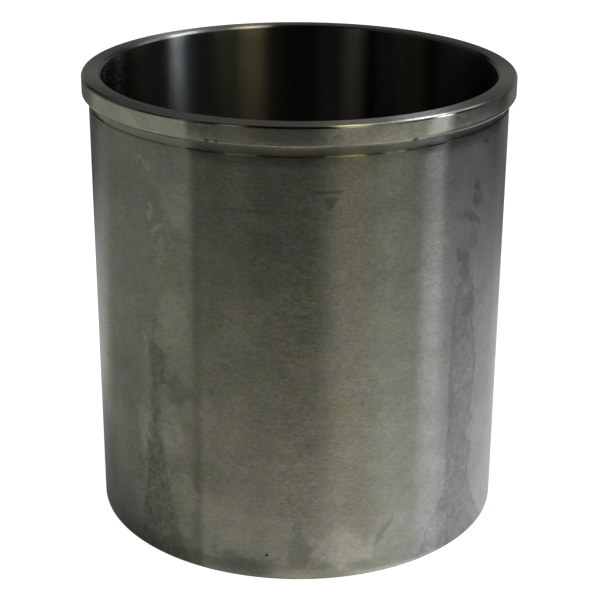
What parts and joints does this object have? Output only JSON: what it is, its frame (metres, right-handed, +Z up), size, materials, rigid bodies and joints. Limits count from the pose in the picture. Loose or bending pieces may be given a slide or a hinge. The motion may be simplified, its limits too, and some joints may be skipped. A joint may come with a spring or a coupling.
{
  "type": "cylinder liner",
  "caption": "Thin-walled round sleeve with a narrow flange round its top edge, a relief groove under the flange and a smooth open bore for a piston.",
  "frame": {"origin": "on the bore axis in the plane of the lower end", "axes": "+Z up the bore axis, towards the flange; the sleeve is round, so +X and +Y are free"},
  "size_m": [0.1098, 0.1098, 0.1175],
  "materials": {
    "liner_iron": "ground outside, smooth bore, grey iron with handling stains"
  },
  "bodies": {
    "root": {"liner": "liner_iron"}
  },
  "joints": []
}
